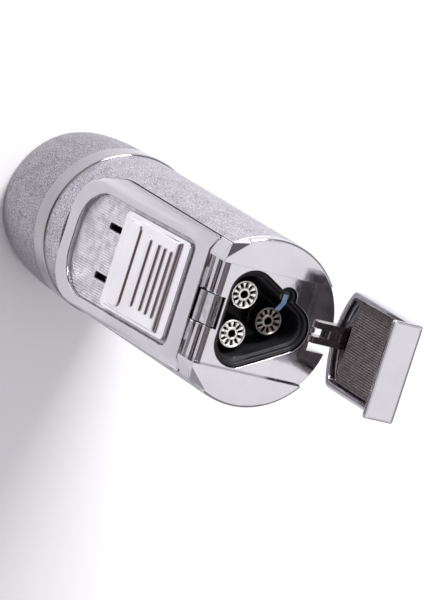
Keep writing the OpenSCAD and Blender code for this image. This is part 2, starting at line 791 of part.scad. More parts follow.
// Rounded rim of the head above the shell
module head_cap() {
    outer_r = shell_r - seat_gap;
    translate([0, 0, shell_top_z + FREE]) rotate_extrude($fn = 128) {
        square([outer_r - head_round, head_cap_h - FREE]);
        square([outer_r, head_cap_h - FREE - head_round]);
        translate([outer_r - head_round, head_cap_h - FREE - head_round]) circle(head_round, $fn = 32);
    }
}

// One front corner of the head, from the shell's edge to the chamfered top
module head_corner() {
    split_y = -5.6;
    foot_r = shell_r - seat_gap;
    top_r = foot_r - head_round;
    inner_x = channel_w / 2 - 1;
    face_x = face_top_w / 2;
    foot_z = shell_top_z + FREE;
    hull() {
        translate([0, 0, foot_z]) linear_extrude(0.05) polygon([
            [inner_x, -face_top], [face_x, -face_top],
            [cut_half - seat_gap, -cut_chord],
            [sqrt(foot_r * foot_r - split_y * split_y), split_y], [inner_x, split_y]
        ]);
        translate([0, 0, body_h - 0.05]) linear_extrude(0.05) polygon([
            [inner_x, -face_top + 0.15], [face_x + 0.1, -face_top + 0.15],
            [sqrt(top_r * top_r - split_y * split_y), split_y], [inner_x, split_y]
        ]);
    }
    translate([0, 0, notch_z]) linear_extrude(shell_top_z - notch_z + 0.05) polygon([
        [inner_x, -face_top], [face_x, -face_top],
        [cut_half - seat_gap, -cut_chord - seat_gap],
        [cut_half - 1, -cut_chord - seat_gap], [cut_half - 1, -cut_chord + 1], [inner_x, -cut_chord + 1]
    ]);
}

module head_block() {
    plug_r = bore_r - seat_gap;
    color("gainsboro") difference() {
        union() {
            intersection() {
                translate([0, 0, head_foot_z])
                    cylinder(r = plug_r, h = body_h - 1 - head_foot_z, $fn = 128);
                translate([-BIG / 2, -cut_chord + seat_gap, 0]) cube([BIG, BIG, BIG * 2]);
            }
            intersection() {
                head_cap();
                translate([-BIG / 2, -5.6 - FREE, 0]) cube([BIG, BIG, BIG * 2]);
            }
            intersection() {
                translate([0, 0, boss_floor_z])
                    cylinder(r = shell_r - seat_gap, h = deck_z - boss_floor_z, $fn = 128);
                translate([-boss_w / 2, 0, 0]) cube([boss_w, BIG, BIG * 2]);
            }
            head_corner();
            mirror([1, 0, 0]) head_corner();
            intersection() {
                translate([-channel_w / 2, -face_top, notch_z]) cube([channel_w, 6, deck_z - notch_z]);
                translate([0, hinge_y, hinge_z]) cross_bar(nose_r, channel_w, $fn = 128);
            }
        }
        translate([-channel_w / 2, -BIG / 2, deck_z]) cube([channel_w, BIG, BIG]);
        translate([-channel_w / 2, -face_top - 1, deck_z - 1.0]) cube([channel_w, 2.95, 5]);
        difference() {
            translate([-channel_w / 2, -face_top - 1, notch_z + 1.7]) cube([channel_w, 3, 1.4]);
            translate([0, hinge_y, hinge_z]) cross_bar(nose_r - 0.45, channel_w + 1, $fn = 128);
        }
        difference() {
            translate([-channel_w / 2, -face_top - 2, notch_z - FREE]) cube([channel_w, 3.8, BIG]);
            translate([0, hinge_y, hinge_z]) cross_bar(nose_r, channel_w + 1, $fn = 128);
        }
        translate([0, 0, head_foot_z - 1]) linear_extrude(BIG) burner_outline(0);
        translate([-latch_w / 2 - pass_gap, -face_top - 1, head_foot_z - 1])
            cube([latch_w + 2 * pass_gap, latch_back_y + face_top + 1 + pass_gap, BIG]);
        translate([-slot_w / 2, slot_front_y, slot_floor_z]) cube([slot_w, BIG, BIG]);
        translate([0, hinge_y, hinge_z]) cross_bar(pin_r + FREE, slot_w + 3.4, $fn = 32);
        for (side = [-1, 1]) translate([side * (bore_r - seat_gap - 2.3), 2, head_foot_z - 1])
            cylinder(r = 0.72, h = 4.4);
        for (side = [-1, 1]) translate([side * (channel_w / 2 + 0.05) - 0.15, slot_front_y - 4.5, deck_z - 0.4])
            cube([0.3, 5.4, 0.9]);
    }
}

module latch_tab() {
    foot_z = head_foot_z + 1.5;
    front_y = -face_top + 0.4;
    wall_y = hinge_y - nose_r;
    back_y = latch_back_y;
    color("gray") difference() {
        translate([-latch_w / 2, 0, 0]) rotate([90, 0, 90]) linear_extrude(latch_w) polygon([
            [front_y, notch_z + 0.1], [front_y + 0.25, notch_z + 0.75],
            [wall_y + 0.25, notch_z + 1.3], [wall_y + 0.55, deck_z - 1.1],
            [back_y - 0.35, deck_z - 0.35], [back_y, deck_z - 0.6],
            [back_y, foot_z], [back_y - 0.8, foot_z],
            [back_y - 0.8, notch_z - 0.5], [-cut_chord + 0.1, notch_z], [front_y, notch_z]
        ]);
        translate([-latch_w / 2 + 0.7, back_y - 0.95, deck_z - 1.5]) cube([latch_w - 1.4, 0.22, 4]);
    }
}

// ---- hinge and lid ----------------------------------------------------

// Children drawn with the lid shut, swung open about the hinge
module swung_open() {
    translate([0, hinge_y, hinge_z]) rotate([-90, 0, 0]) translate([0, -hinge_y, -hinge_z]) children();
}

module hinge_pin() {
    color("silver") translate([0, hinge_y, hinge_z]) cross_bar(pin_r, slot_w + 3.3, $fn = 32);
}

module lid_spring() {
    color("silver") translate([-0.5, hinge_y, hinge_z]) rotate([0, 90, 0]) coil(0.82, 0.12, 1, 3);
}

module lid_arm() {
    rail_w = 1.1;
    front_y = slot_front_y + 0.7;
    back_y = hinge_y + 1;
    color("gray") swung_open() difference() {
        union() {
            for (side = [-1, 1])
                translate([side * (arm_w / 2 - rail_w / 2) - rail_w / 2, 0, 0]) {
                    translate([rail_w / 2, hinge_y, hinge_z]) cross_bar(1.3, rail_w);
                    translate([0, front_y, hinge_z]) cube([rail_w, back_y - front_y, lid_under_z - hinge_z]);
                }
            translate([-arm_w / 2, front_y + 1.2, lid_under_z - 1.3]) cube([arm_w, 1, 1.3]);
            translate([-arm_w / 2, front_y + 0.6, lid_under_z - 2.6]) cube([arm_w, 1.6, 0.7]);
            translate([-arm_w / 2, front_y, lid_under_z - 0.1])
                cube([arm_w, back_y - front_y, lid_recess - 0.1]);
        }
        translate([0, hinge_y, hinge_z]) cross_bar(pin_r + running_gap, BIG, $fn = 32);
    }
}

// Plan of the lid, drawn in by a margin all round
module lid_plan(margin) {
    w = lid_w - 2 * margin;
    intersection() {
        translate([-w / 2, -face_top + margin]) square([w, face_top + lid_back_r]);
        circle(lid_back_r - margin, $fn = 128);
    }
}

module lid_shell() {
    recess_z = lid_under_z + lid_recess;
    color("gainsboro") swung_open() difference() {
        union() {
            translate([0, 0, lid_under_z]) linear_extrude(lid_top_z - lid_under_z) lid_plan(0);
            translate([-lid_w / 2, -face_top, lip_foot_z]) cube([lid_w, lip_t, lid_top_z - lip_foot_z]);
        }
        difference() {
            translate([0, 0, lid_under_z - 1]) linear_extrude(lid_recess + 1) lid_plan(lid_rim);
            translate([-BIG / 2, -BIG, lip_foot_z - 1]) cube([BIG, BIG - face_top + lip_t, BIG]);
        }
        translate([-arm_w / 2 - seat_gap, slot_front_y + 0.7 - seat_gap, lid_under_z - 1])
            cube([arm_w + 2 * seat_gap, hinge_inset + 3, lid_recess + 1]);
    }
}

module lid_mesh() {
    top_z = lid_under_z + lid_recess - seat_gap;
    sheet_t = 0.5;
    back_y = slot_front_y - 0.4;
    front_y = -face_top + lip_t + 0.4;
    w = lid_w - 2 * lid_rim - 0.6;
    color("darkgray") swung_open() intersection() {
        translate([-w / 2, front_y, top_z - sheet_t]) cube([w, back_y - front_y, sheet_t]);
        translate([0, 0, top_z - sheet_t]) linear_extrude(sheet_t) lid_plan(lid_rim + 0.3);
    }
}

base_cup();
base_screws();
band_ring();
outer_shell();
fuel_tank();
tank_lid();
tank_seal();
fill_valve();
fill_stem();
fill_spring();
adjuster_dial();
inner_chassis();
chassis_screws();
front_frame();
track_plate();
slider_button();
slider_carriage();
piezo_body();
piezo_plunger();
piezo_spring();
piezo_lead();
gas_valve();
valve_stem();
valve_lever();
lever_pin();
gas_tube();
jet_manifold();
jet_left();
jet_right();
jet_rear();
burner_insert();
electrode_insulator();
electrode_tip();
head_block();
latch_tab();
hinge_pin();
lid_spring();
lid_arm();
lid_shell();
lid_mesh();
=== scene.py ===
"""Pocket torch lighter: three gas jets under a sprung flip lid, fired by a slide button."""
import json
import math

import bpy
import numpy as np
from mathutils import Matrix, Vector


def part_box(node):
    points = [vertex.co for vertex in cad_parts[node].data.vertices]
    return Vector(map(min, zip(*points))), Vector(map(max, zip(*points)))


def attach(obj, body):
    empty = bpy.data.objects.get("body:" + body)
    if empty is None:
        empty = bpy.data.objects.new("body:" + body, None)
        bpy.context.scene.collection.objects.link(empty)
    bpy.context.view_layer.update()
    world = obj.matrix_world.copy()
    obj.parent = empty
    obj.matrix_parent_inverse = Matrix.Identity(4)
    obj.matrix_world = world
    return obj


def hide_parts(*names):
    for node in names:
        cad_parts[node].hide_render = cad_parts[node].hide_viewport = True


for leftover in ("Cube", "Light", "Camera"):
    if leftover in bpy.data.objects:
        bpy.data.objects.remove(bpy.data.objects[leftover])

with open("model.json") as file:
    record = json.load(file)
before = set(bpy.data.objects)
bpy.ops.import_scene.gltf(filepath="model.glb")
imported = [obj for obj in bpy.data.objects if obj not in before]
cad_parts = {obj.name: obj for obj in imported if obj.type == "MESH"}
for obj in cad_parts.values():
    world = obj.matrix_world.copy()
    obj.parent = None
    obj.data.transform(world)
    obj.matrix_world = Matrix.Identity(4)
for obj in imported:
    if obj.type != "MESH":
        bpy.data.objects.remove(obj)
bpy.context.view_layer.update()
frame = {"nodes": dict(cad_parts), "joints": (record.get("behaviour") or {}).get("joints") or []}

# ---- base cup ---------------------------------------------------------------
# The weighted foot of the lighter: a turned and tumbled zinc cup, plated in
# antique gunmetal and stonewashed, so it is dark in its grain and bright on its
# edges. It takes the tank, the filling valve and the flame adjuster.

MM = 0.001
WELD_MM = 0.002
CORNER_DEG = 30
PIT_TINT = (0.1, 0.09, 0.1)
GUNMETAL_TINTS = ((0.24, 0.23, 0.26), (0.42, 0.41, 0.45), (0.66, 0.64, 0.69), (0.72, 0.7, 0.74))


def new_finish(name, metallic=0.0):
    """An empty node material: the material, its node tree, its shader and its Object coordinates."""
    finish = bpy.data.materials.new(name)
    finish.use_nodes = True
    tree = finish.node_tree
    shader = tree.nodes["Principled BSDF"]
    shader.inputs["Metallic"].default_value = metallic
    return finish, tree, shader, tree.nodes.new("ShaderNodeTexCoord").outputs["Object"]


def cloud(tree, place, per_mm, detail=3.0, stretch=(1, 1, 1)):
    """Noise of about per_mm blotches a millimetre, drawn out along the axes by stretch."""
    spread = tree.nodes.new("ShaderNodeMapping")
    spread.inputs["Scale"].default_value = [per_mm / MM / s for s in stretch]
    noise = tree.nodes.new("ShaderNodeTexNoise")
    noise.inputs["Scale"].default_value = 1.0
    noise.inputs["Detail"].default_value = detail
    tree.links.new(place, spread.inputs["Vector"])
    tree.links.new(spread.outputs["Vector"], noise.inputs["Vector"])
    return noise.outputs["Fac"]


def shades(tree, value, *stops):
    """Colour ramp over a value: each stop is (place from 0 to 1, linear colour)."""
    ramp = tree.nodes.new("ShaderNodeValToRGB")
    while len(ramp.color_ramp.elements) < len(stops):
        ramp.color_ramp.elements.new(0.5)
    for element, (at, tint) in zip(ramp.color_ramp.elements, stops):
        element.position = at
        element.color = (*tint, 1)
    tree.links.new(value, ramp.inputs["Fac"])
    return ramp.outputs["Color"]


def spread_over(tree, value, low, high, start=0.3, end=0.7):
    """A value from start to end brought to low to high."""
    span = tree.nodes.new("ShaderNodeMapRange")
    for socket, number in (("From Min", start), ("From Max", end), ("To Min", low), ("To Max", high)):
        span.inputs[socket].default_value = number
    tree.links.new(value, span.inputs["Value"])
    return span.outputs["Result"]


def blended(tree, amount, first, second):
    """Two colours mixed by an amount; each is a socket or a linear colour."""
    mix = tree.nodes.new("ShaderNodeMix")
    mix.data_type = "RGBA"
    tree.links.new(amount, mix.inputs["Factor"])
    for socket, tint in ((mix.inputs[6], first), (mix.inputs[7], second)):
        if isinstance(tint, bpy.types.NodeSocket):
            tree.links.new(tint, socket)
        else:
            socket.default_value = (*tint, 1)
    return mix.outputs[2]


def rounded_normal(tree, radius_mm):
    """Normals rounded over a small radius at every edge, as barrelling leaves them."""
    bevel = tree.nodes.new("ShaderNodeBevel")
    bevel.samples = 4
    bevel.inputs["Radius"].default_value = radius_mm * MM
    return bevel.outputs["Normal"]


def edge_wear(tree, radius_mm, start=0.02, end=0.3):
    """How near a corner the surface is: one less the dot of the rounded and the true normal."""
    rubbed = rounded_normal(tree, radius_mm)
    true = tree.nodes.new("ShaderNodeNewGeometry").outputs["Normal"]
    dot = tree.nodes.new("ShaderNodeVectorMath")
    dot.operation = "DOT_PRODUCT"
    tree.links.new(rubbed, dot.inputs[0])
    tree.links.new(true, dot.inputs[1])
    return spread_over(tree, dot.outputs["Value"], 1.0, 0.0, 1 - end, 1 - start)


def relief(tree, shader, height, depth_mm, edge_mm):
    """Bump of a height from 0 to 1 over a depth, on normals rounded at the edges."""
    bump = tree.nodes.new("ShaderNodeBump")
    bump.inputs["Strength"].default_value = 1.0
    bump.inputs["Distance"].default_value = depth_mm * MM
    tree.links.new(height, bump.inputs["Height"])
    tree.links.new(rounded_normal(tree, edge_mm), bump.inputs["Normal"])
    tree.links.new(bump.outputs["Normal"], shader.inputs["Normal"])


def stonewashed_gunmetal(name, shade_factor=1.0):
    """Antique gunmetal: blotches of dark and pale grey under a fine bright speckle. A factor below 1 dims
    them as painted shade.
    """
    finish, tree, shader, place = new_finish(name, metallic=1.0)
    blotch = cloud(tree, place, per_mm=0.45, detail=5)
    speck = cloud(tree, place, per_mm=4.5, detail=6)
    dark, pale, bright, rubbed = (tuple(shade_factor * c for c in tint) for tint in GUNMETAL_TINTS)
    ground = shades(tree, blotch, (0.3, dark), (0.7, pale))
    grains = spread_over(tree, speck, low=0.0, high=1.0, start=0.46, end=0.64)
    specked = blended(tree, grains, ground, bright)
    pits = spread_over(tree, speck, low=0.75, high=0.0, start=0.33, end=0.47)
    pitted = blended(tree, pits, specked, PIT_TINT)
    worn = blended(tree, edge_wear(tree, radius_mm=0.35), pitted, rubbed)
    tree.links.new(worn, shader.inputs["Base Color"])
    tree.links.new(spread_over(tree, speck, low=0.5, high=0.3), shader.inputs["Roughness"])
    relief(tree, shader, speck, depth_mm=0.03, edge_mm=0.12)
    return finish


def soften(name, finish, edge_mm=0.0, steps=2):
    """Gives a CAD node its finish and, for a width, its rounded edges."""
    node = frame["nodes"][name]
    node.data.materials.clear()
    node.data.materials.append(finish)
    if edge_mm:
        if "custom_normal" in node.data.attributes:
            node.data.attributes.remove(node.data.attributes["custom_normal"])
        node.data.shade_smooth()
        weld = node.modifiers.new("joined", "WELD")
        weld.merge_threshold = WELD_MM * MM
        edge = node.modifiers.new("edges", "BEVEL")
        edge.width = edge_mm * MM
        edge.segments = steps
        edge.limit_method = "ANGLE"
        edge.angle_limit = math.radians(CORNER_DEG)
        edge.harden_normals = True
        edge.use_clamp_overlap = False
    return node


# The base cup takes the gunmetal dimmed to 0.74 of the shell's: painted shade at the foot.
soften("base_cup", stonewashed_gunmetal("base gunmetal", shade_factor=0.74), edge_mm=0.1)

# ---- base screws ------------------------------------------------------------
# Two small cross-head screws of plated steel, driven up through the base's
# floor into the tank's bosses.


def turned_steel(name, tint=(0.56, 0.56, 0.58), roughness=0.28):
    """Plain steel from the lathe: fine rings of tooling marks and a little staining."""
    finish, tree, shader, place = new_finish(name, metallic=1.0)
    stain = cloud(tree, place, per_mm=0.6, detail=4)
    rings = cloud(tree, place, per_mm=9.0, detail=2, stretch=(6, 6, 0.6))
    dull = tuple(0.72 * c for c in tint)
    ground = shades(tree, stain, (0.35, dull), (0.6, tint))
    bright = tuple(min(1.0, 1.3 * c) for c in tint)
    worn = blended(tree, edge_wear(tree, radius_mm=0.12), ground, bright)
    tree.links.new(worn, shader.inputs["Base Color"])
    tree.links.new(spread_over(tree, rings, roughness * 0.7, roughness * 1.4), shader.inputs["Roughness"])
    relief(tree, shader, rings, depth_mm=0.012, edge_mm=0.06)
    return finish


plain_steel = turned_steel("plain steel")
soften("base_screws", plain_steel, edge_mm=0.04)

# ---- fuel tank --------------------------------------------------------------
# A cloudy injection-moulded nylon cup with a welded lid, and the rubber ring
# that holds it still inside the shell.


def moulded(name, low, high, roughness, sheen=0.0, gloss=0.5):
    """Moulded plastic or rubber: a slight marbling, a spark-eroded grain and paler rubbed edges."""
    finish, tree, shader, place = new_finish(name)
    marbling = cloud(tree, place, per_mm=0.35, detail=4)
    grain = cloud(tree, place, per_mm=5.0, detail=4)
    ground = shades(tree, marbling, (0.3, low), (0.7, high))
    rubbed = tuple(min(1.0, 1.5 * c + 0.02) for c in high)
    worn = blended(tree, edge_wear(tree, radius_mm=0.2), ground, rubbed)
    tree.links.new(worn, shader.inputs["Base Color"])
    tree.links.new(spread_over(tree, grain, roughness * 0.8, roughness * 1.2), shader.inputs["Roughness"])
    relief(tree, shader, grain, depth_mm=0.02, edge_mm=0.08)
    shader.inputs["Sheen Weight"].default_value = sheen
    shader.inputs["Specular IOR Level"].default_value = gloss
    return finish


tank_plastic = moulded("tank plastic", (0.62, 0.62, 0.58), (0.74, 0.74, 0.7), roughness=0.42)
soften("fuel_tank", tank_plastic)
soften("tank_lid", tank_plastic)
black_rubber = moulded(
    "black rubber", (0.012, 0.012, 0.013), (0.03, 0.03, 0.032), roughness=0.7, sheen=0.1,
)
soften("tank_seal", black_rubber)

# ---- filling valve and flame adjuster ---------------------------------------
# A turned brass valve pressed into the floor, with a steel stem on a small
# spring, and the black moulded dial that meters the flame.

valve_brass = turned_steel("valve brass", tint=(0.72, 0.5, 0.2), roughness=0.26)
spring_wire = turned_steel("spring wire", tint=(0.6, 0.59, 0.57), roughness=0.22)
black_plastic = moulded(
    "black plastic", (0.008, 0.008, 0.009), (0.02, 0.019, 0.022), roughness=0.4, gloss=0.22,
)
soften("fill_valve", valve_brass, edge_mm=0.06)
soften("fill_stem", plain_steel)
soften("fill_spring", spring_wire)
soften("adjuster_dial", black_plastic, edge_mm=0.05)

# ---- inner chassis ----------------------------------------------------------
# The die-cast frame inside the shell. Its deck sits on the tank, its two posts
# are screwed up into the head, and it carries the valve, lever and igniter.


def zinc_casting():
    """Raw die-cast zinc: dull, cloudy and finely pebbled."""
    finish, tree, shader, place = new_finish("zinc casting", metallic=1.0)
    flow = cloud(tree, place, per_mm=0.3, detail=5, stretch=(1, 1, 2))
    pebble = cloud(tree, place, per_mm=6.0, detail=3)
    ground = shades(tree, flow, (0.3, (0.3, 0.31, 0.33)), (0.7, (0.46, 0.46, 0.48)))
    worn = blended(tree, edge_wear(tree, radius_mm=0.2), ground, (0.66, 0.66, 0.67))
    tree.links.new(worn, shader.inputs["Base Color"])
    tree.links.new(spread_over(tree, pebble, low=0.38, high=0.6), shader.inputs["Roughness"])
    relief(tree, shader, pebble, depth_mm=0.03, edge_mm=0.1)
    return finish


cast_zinc = zinc_casting()
soften("inner_chassis", cast_zinc)
soften("chassis_screws", plain_steel)

# ---- gas valve, its lever and the gas tube ----------------------------------
# Pressing the slide swings a stamped steel lever that lifts the valve's stem,
# and the gas runs through a soft tube up to the jets' manifold.

soften("gas_valve", valve_brass)
soften("valve_stem", plain_steel)
soften("valve_lever", plain_steel)
soften("lever_pin", plain_steel)
soften("gas_tube", moulded("gas tube plastic", (0.6, 0.56, 0.46), (0.72, 0.68, 0.58), roughness=0.3))

# ---- jets -------------------------------------------------------------------
# Three pressed steel burner cups on a brass manifold. Each end is a disc with a
# ring of slots round its nozzle, inside a rolled rim; the rear one, next to the
# spark, is coloured a darker steel. Below a line just under their tops the cups
# are darkened as painted shade down in the well.


def grid_skin(name, points, round_rows=False):
    """A mesh from a grid of points in mm. Faces join neighbours along each row, which closes on
    itself, and from row to row. Either the last row joins the first, or both are filled in."""
    rows, columns = points.shape[:2]
    here = np.arange(rows * columns).reshape(rows, columns)
    beside = np.roll(here, -1, axis=1)
    quads = np.stack([here[:-1], beside[:-1], beside[1:], here[1:]], -1).reshape(-1, 4)
    if round_rows:
        wrap = np.stack([here[-1], beside[-1], beside[0], here[0]], -1)
        quads = np.concatenate([quads, wrap])
    faces = quads.tolist()
    if not round_rows:
        faces += [here[0, ::-1].tolist(), here[-1].tolist()]
    return built(name, points.reshape(-1, 3), faces, quads)


def built(name, corners, faces, quads):
    """The mesh object of some corners in mm and faces, with smooth faces. Where the sum of the
    quads' signed volumes from the middle is below nought, the faces are turned to point outwards."""
    a, b, c, d = (corners[quads[:, i]] for i in range(4))
    volume = np.einsum("ij,ij->i", a - corners.mean(0), np.cross(b - a, c - a)).sum()
    volume += np.einsum("ij,ij->i", a - corners.mean(0), np.cross(c - a, d - a)).sum()
    if volume < 0:
        faces = [face[::-1] for face in faces]
    mesh = bpy.data.meshes.new(name)
    mesh.from_pydata((corners * MM).tolist(), [], faces)
    mesh.validate()
    mesh.shade_smooth()
    piece = bpy.data.objects.new(name, mesh)
    bpy.context.scene.collection.objects.link(piece)
    return piece


def fitted(piece, finish, body, slot, *nodes):
    """Gives a new piece its finish and its body, and hides the nodes that it stands for. The slot is not
    used.
    """
    piece.data.materials.append(finish)
    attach(piece, body)
    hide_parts(*nodes)
    return piece


def smoothstep(low, high, value):
    """0 below low, 1 above high, and a smooth cubic between them."""
    t = np.clip((value - low) / (high - low), 0, 1)
    return t * t * (3 - 2 * t)


JET_SLOTS = 11
JET_SLOT_POINTS = 16
JET_CUP_H = 4.2
JET_FLANGE = 0.3
JET_STEM_R = 1.2
JET_STEM_H = 11.7
NOZZLE_R = 0.6
SLOT_DEPTH = 0.9
SLOT_FADE = (0.15, 0.25)
DISC_START = (1.05, 1.13)
DISC_END = (0.45, 0.4)
WELL_SHADE_TINT = (0.05, 0.045, 0.042)
WELL_SHADE_FADE = 0.5
WELL_SHADE_DROP = 0.3


def jet_cup(name):
    """A jet turned round its own axis. Its profile runs from inside the nozzle over the disc and
    the rolled rim, down the cup, out round the flange and down the stem. Between the nozzle and
    the rim the disc drops by the slot depth wherever the angle is inside one of the even slots."""
    low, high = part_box(name)
    centre = (np.array(low) + np.array(high)) / 2 / MM
    top = high[2] / MM
    cup_r = (high[0] - low[0]) / 2 / MM - JET_FLANGE
    profile = [
        (NOZZLE_R, -1.6), (NOZZLE_R, -0.5), (NOZZLE_R + 0.02, -0.2), (NOZZLE_R + 0.1, -0.13),
        (NOZZLE_R + 0.22, -0.12), (NOZZLE_R + 0.36, -0.16), (NOZZLE_R + 0.45, -0.17),
        *[(r, -0.17) for r in np.linspace(1.12, cup_r - 0.42, 9)],
        (cup_r - 0.38, -0.16), (cup_r - 0.33, -0.08), (cup_r - 0.24, -0.01), (cup_r - 0.14, 0.0),
        (cup_r - 0.04, -0.06), (cup_r, -0.18), (cup_r, -1.0), (cup_r, -2.4),
        (cup_r + 0.18, -2.46), (cup_r + JET_FLANGE, -2.6), (cup_r + JET_FLANGE, -3.0),
        (cup_r + 0.18, -3.12), (cup_r, -3.2), (cup_r, -JET_CUP_H + 0.3),
        (cup_r - 0.3, -JET_CUP_H), (JET_STEM_R + 0.1, -JET_CUP_H), (JET_STEM_R, -JET_CUP_H - 0.1),
        (JET_STEM_R, -JET_STEM_H), (NOZZLE_R, -JET_STEM_H), (NOZZLE_R, -JET_CUP_H),
    ]
    radius, height = (np.array(column)[:, None] for column in zip(*profile))
    angle = np.linspace(0, 2 * math.pi, JET_SLOTS * JET_SLOT_POINTS, endpoint=False)[None, :]
    off_slot = np.abs(((angle * JET_SLOTS / (2 * math.pi)) % 1) - 0.5) * 2 * math.pi / JET_SLOTS
    in_slot = 1 - smoothstep(*SLOT_FADE, off_slot * radius)
    fade_from, fade_to = (cup_r - inset for inset in DISC_END)
    on_disc = smoothstep(*DISC_START, radius) * (1 - smoothstep(fade_from, fade_to, radius))
    on_disc = on_disc * (height > -0.3)
    z = top + height - SLOT_DEPTH * in_slot * on_disc
    points = np.stack([
        centre[0] + radius * np.cos(angle), centre[1] + radius * np.sin(angle), z + 0 * angle
    ], -1)
    return grid_skin(name + "_cup", points, round_rows=True)


def jet_finish(name, tint, sooty, roughness, shade_below=None):
    """Pressed steel round a flame: bright metal, heat-darkened in patches, and darkened below a height as
    painted shade in the well.
    """
    finish, tree, shader, place = new_finish(name, metallic=1.0)
    heat = cloud(tree, place, per_mm=0.5, detail=4)
    grain = cloud(tree, place, per_mm=8.0, detail=3)
    ground = shades(tree, heat, (0.38, sooty), (0.56, tint))
    worn = blended(tree, edge_wear(tree, radius_mm=0.12), ground, tuple(min(1.0, 1.25 * c) for c in tint))
    # Below the height the colour goes over to a dark tint: painted shade down in the well.
    if shade_below:
        parts = tree.nodes.new("ShaderNodeSeparateXYZ")
        tree.links.new(place, parts.inputs["Vector"])
        shade_factor = spread_over(tree, parts.outputs["Z"], 1.0, 0.0, shade_below - WELL_SHADE_FADE * MM, shade_below)
        worn = blended(tree, shade_factor, worn, WELL_SHADE_TINT)
    tree.links.new(worn, shader.inputs["Base Color"])
    tree.links.new(spread_over(tree, grain, roughness * 0.7, roughness * 1.3), shader.inputs["Roughness"])
    relief(tree, shader, grain, depth_mm=0.015, edge_mm=0.05)
    return finish


soften("jet_manifold", valve_brass)
# The painted shade on the jets starts just under their tops.
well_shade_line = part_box("jet_left")[1][2] - WELL_SHADE_DROP * MM
jet_steel = jet_finish(
    "jet steel", tint=(0.9, 0.88, 0.86), sooty=(0.7, 0.67, 0.64), roughness=0.28, shade_below=well_shade_line,
)
# The rear jet takes a darker copy of the jet steel.
burnt_steel = jet_finish(
    "dark jet steel", tint=(0.32, 0.29, 0.27), sooty=(0.17, 0.14, 0.13), roughness=0.34,
    shade_below=well_shade_line,
)
fitted(jet_cup("jet_left"), jet_steel, "case", "jet_steel", "jet_left")
fitted(jet_cup("jet_right"), jet_steel, "case", "jet_steel", "jet_right")
fitted(jet_cup("jet_rear"), burnt_steel, "case", "burnt_steel", "jet_rear")

# ---- igniter ----------------------------------------------------------------
# A black piezo hammer block with its plunger and return spring. Its sheathed
# lead runs up behind the jets to the electrode.

soften("piezo_body", black_plastic)
soften("piezo_plunger", black_plastic)
soften("piezo_spring", spring_wire)
soften("piezo_lead", moulded("lead sheath", (0.32, 0.03, 0.025), (0.42, 0.05, 0.04), roughness=0.4))
soften("electrode_insulator", moulded("ceramic", (0.03, 0.026, 0.024), (0.06, 0.052, 0.048), roughness=0.35))
blued_steel = jet_finish("blued steel", tint=(0.16, 0.27, 0.46), sooty=(0.24, 0.3, 0.42), roughness=0.3)
soften("electrode_tip", blued_steel, edge_mm=0.05)

# ---- burner insert ----------------------------------------------------------
# A black heat-proof moulding that lines the opening in the head: a rounded lip,
# a ledge, and a deep well that the jets stand in.

INSERT_CORNER_R = 4.1
INSERT_LOBE_R = 1.7
INSERT_WELL_Z = 7.4
INSERT_PLAY = 0.05
INSERT_MIDDLE = (0.0, 0.2)
INSERT_RAYS = 288
LOBE_BLEND = 0.25
RAY_REACH = 12.0
HALVINGS = 30


def insert_lining():
    """The lining as rings round the opening. Each ring is the outline drawn in by a margin, at a
    height: a point lies where its distance from the outline's shape, three round corners joined by
    straight sides and one lobe, equals the margin, found by halving the span along each ray."""
    low, high = (np.array(corner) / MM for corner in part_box("burner_insert"))
    inset = INSERT_CORNER_R - INSERT_PLAY
    front = [(side * (high[0] - inset), low[1] + inset) for side in (-1, 1)]
    corners = np.array(front + [(0.0, high[1] - inset)])
    wire = np.array(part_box("electrode_insulator")) / MM
    lobe = wire.mean(0)[:2]
    angle = np.linspace(0, 2 * math.pi, INSERT_RAYS, endpoint=False)
    ray = np.stack([np.cos(angle), np.sin(angle)], -1)
    middle = np.array(INSERT_MIDDLE)

    def outside(point):
        """Distance from the outline, negative inside it; the lobe flows into the sides."""
        edges = []
        for a, b in zip(corners, np.roll(corners, -1, axis=0)):
            along = b - a
            share = np.clip((point - a) @ along / (along @ along), 0, 1)
            edges.append(np.linalg.norm(point - a - share[:, None] * along, axis=1))
        normal = [np.array([b[1] - a[1], a[0] - b[0]]) / np.linalg.norm(b - a)
                  for a, b in zip(corners, np.roll(corners, -1, axis=0))]
        within = np.all([(point - a) @ n < 0 for a, n in zip(corners, normal)], axis=0)
        body = np.where(within, -np.min(edges, axis=0), np.min(edges, axis=0)) - INSERT_CORNER_R
        ear = np.linalg.norm(point - lobe, axis=1) - INSERT_LOBE_R
        share = np.clip(0.5 + 0.5 * (ear - body) / LOBE_BLEND, 0, 1)
        return ear + (body - ear) * share - LOBE_BLEND * share * (1 - share)

    def ring(margin, height):
        """The outline drawn in by a margin, at a height."""
        near, far = np.zeros(INSERT_RAYS), np.full(INSERT_RAYS, RAY_REACH)
        for _ in range(HALVINGS):
            half = (near + far) / 2
            inside = outside(middle + half[:, None] * ray) < -margin
            near, far = np.where(inside, half, near), np.where(inside, far, half)
        flat = middle + near[:, None] * ray
        return np.column_stack([flat, np.full(INSERT_RAYS, height)])

    top, foot = high[2], low[2]
    profile = [
        (0.07, foot), (0.05, foot + 0.1), (0.05, top - 0.35), (0.09, top - 0.14), (0.2, top - 0.03),
        (0.36, top), (0.54, top - 0.03), (0.68, top - 0.14), (0.75, top - 0.32), (0.78, top - 0.7),
        (0.84, top - 0.8), (1.02, top - 0.84), (1.14, top - 0.9), (1.22, top - 1.04), (1.26, top - 1.3),
        (1.32, top - 3.5), (1.4, top - INSERT_WELL_Z + 0.4), (1.55, top - INSERT_WELL_Z + 0.1),
        (1.9, top - INSERT_WELL_Z),
    ]
    return grid_skin("insert_lining", np.array([ring(*station) for station in profile]))


fitted(insert_lining(), black_plastic, "case", "black_plastic", "burner_insert")

# ---- slide carriage and track plate -----------------------------------------
# The slide's inner half runs behind the front frame. The track plate closes the
# recess: thin steel rolled with rows of tiny square studs, with two slots that
# the button's legs run in.

soften("slider_carriage", cast_zinc)
patterned_steel = turned_steel("patterned steel", tint=(0.88, 0.86, 0.89), roughness=0.34)

